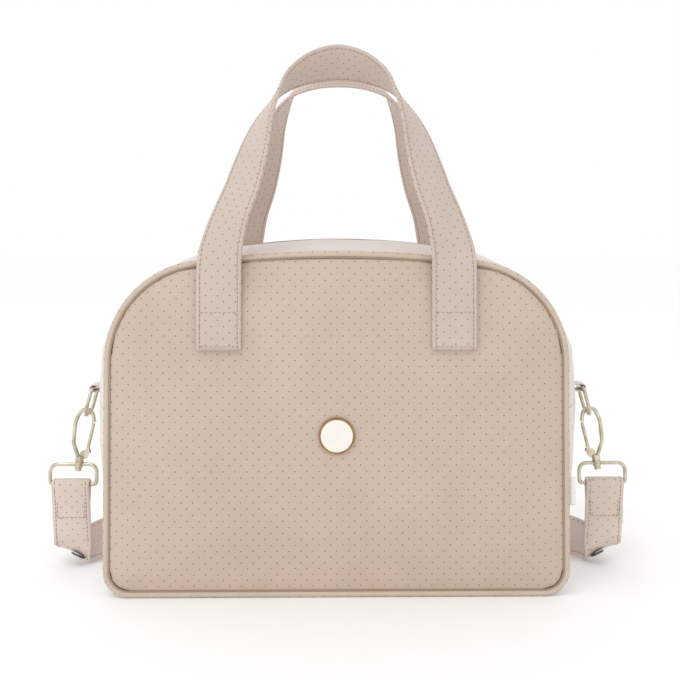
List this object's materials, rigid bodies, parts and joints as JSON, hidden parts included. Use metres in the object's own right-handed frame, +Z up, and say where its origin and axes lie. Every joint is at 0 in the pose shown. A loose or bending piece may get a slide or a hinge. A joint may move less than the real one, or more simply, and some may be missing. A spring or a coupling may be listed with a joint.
{
  "type": "changing bag",
  "caption": "Soft rectangular changing bag with padded panels, two short handles, a zipped top and a clip-on shoulder strap on side rings.",
  "frame": {"origin": "centre of the flat underside of the bag", "axes": "+Z up, -Y the front of the bag with the badge, +X to the right seen from the front"},
  "size_m": [0.5842, 0.349, 0.5167],
  "materials": {
    "dotted_leather": "matt pebbled coated leather with a printed pin dot",
    "piping_leather": "matt coated leather rolled over cord",
    "gusset_leather": "plain matt coated leather, paler",
    "zip_tape": "woven polyester tape",
    "lining_fabric": "plain woven cotton",
    "foam": "laminated foam sheet",
    "board": "stiffener board",
    "badge_metal": "antique brass",
    "white_enamel": "gloss white enamel",
    "woven_label": "blank woven label",
    "pale_gold": "polished pale gold plate",
    "dark_stud": "gunmetal plate"
  },
  "bodies": {
    "bag": {"front_panel": "dotted_leather", "back_panel": "dotted_leather", "front_foam": "foam", "back_foam": "foam", "front_piping": "piping_leather", "back_piping": "piping_leather", "front_handle_ends": "dotted_leather", "back_handle_ends": "dotted_leather", "lower_gusset": "gusset_leather", "zip_gusset_left": "gusset_leather", "zip_gusset_right": "gusset_leather", "lining": "lining_fabric", "base_board": "board", "inner_pocket": "lining_fabric", "badge_tray": "badge_metal", "badge_enamel": "white_enamel", "side_label": "woven_label", "ring_tab_left": "gusset_leather", "ring_tab_right": "gusset_leather"},
    "front_handle": {"front_handle": "dotted_leather"},
    "back_handle": {"back_handle": "dotted_leather"},
    "front_flap": {"front_flap": "gusset_leather", "front_zip_tape": "zip_tape"},
    "back_flap": {"back_flap": "gusset_leather", "back_zip_tape": "zip_tape"},
    "zip_slider": {"zip_slider": "pale_gold"},
    "zip_pull": {"zip_pull": "pale_gold"},
    "ring_left": {"ring_left": "pale_gold"},
    "ring_right": {"ring_right": "pale_gold"},
    "strap": {"strap_band": "dotted_leather", "strap_end_left": "dotted_leather", "strap_end_right": "dotted_leather", "strap_stud_left": "dark_stud", "strap_stud_right": "dark_stud", "strap_loop_left": "pale_gold", "strap_loop_right": "pale_gold"},
    "hook_left": {"hook_left": "pale_gold", "gate_pin_left": "pale_gold"},
    "hook_right": {"hook_right": "pale_gold", "gate_pin_right": "pale_gold"},
    "gate_left": {"gate_left": "pale_gold"},
    "gate_right": {"gate_right": "pale_gold"}
  },
  "joints": [
    {"name": "front_handle_fold", "type": "hinge", "parent": "bag", "child": "front_handle", "pos_m": [0, -0.0931, 0.268], "axis": [1, 0, 0], "range_deg": [0, 165]},
    {"name": "back_handle_fold", "type": "hinge", "parent": "bag", "child": "back_handle", "pos_m": [0, 0.0931, 0.268], "axis": [-1, 0, 0], "range_deg": [0, 90]},
    {"name": "front_flap_open", "type": "hinge", "parent": "bag", "child": "front_flap", "pos_m": [0, -0.077, 0.316], "axis": [1, 0, 0], "range_deg": [0, 60]},
    {"name": "back_flap_open", "type": "hinge", "parent": "bag", "child": "back_flap", "pos_m": [0, 0.077, 0.316], "axis": [-1, 0, 0], "range_deg": [0, 60]},
    {"name": "zip_run", "type": "hinge", "parent": "bag", "child": "zip_slider", "pos_m": [0, 0, -0.374], "axis": [0, 1, 0], "range_deg": [0, 22]},
    {"name": "zip_pull_flip", "type": "hinge", "parent": "zip_slider", "child": "zip_pull", "pos_m": [-0.13242, 0, 0.31734], "axis": [0, -1, 0], "range_deg": [0, 105]},
    {"name": "ring_right_swing", "type": "hinge", "parent": "bag", "child": "ring_right", "pos_m": [0.2455, 0, 0.177], "axis": [0, -1, 0], "range_deg": [0, 4]},
    {"name": "ring_left_swing", "type": "hinge", "parent": "bag", "child": "ring_left", "pos_m": [-0.2455, 0, 0.177], "axis": [0, 1, 0], "range_deg": [0, 4]},
    {"name": "strap_lift", "type": "hinge", "parent": "bag", "child": "strap", "pos_m": [0, 0, 0.1546], "axis": [1, 0, 0], "range_deg": [0, 35]},
    {"name": "hook_right_swivel", "type": "hinge", "parent": "strap", "child": "hook_right", "pos_m": [0.261, 0, 0.1033], "axis": [-0.1444, 0, 0.9895], "range_deg": [-20, 20]},
    {"name": "gate_right_open", "type": "hinge", "parent": "hook_right", "child": "gate_right", "pos_m": [0.25308, 0, 0.11185], "axis": [0, 1, 0], "range_deg": [0, 20], "stiffness_Nm_per_rad": 0.03, "springref_deg": -11.46},
    {"name": "hook_left_swivel", "type": "hinge", "parent": "strap", "child": "hook_left", "pos_m": [-0.261, 0, 0.1033], "axis": [0.1444, 0, 0.9895], "range_deg": [-20, 20]},
    {"name": "gate_left_open", "type": "hinge", "parent": "hook_left", "child": "gate_left", "pos_m": [-0.25308, 0, 0.11185], "axis": [0, -1, 0], "range_deg": [0, 20], "stiffness_Nm_per_rad": 0.03, "springref_deg": -11.46}
  ]
}
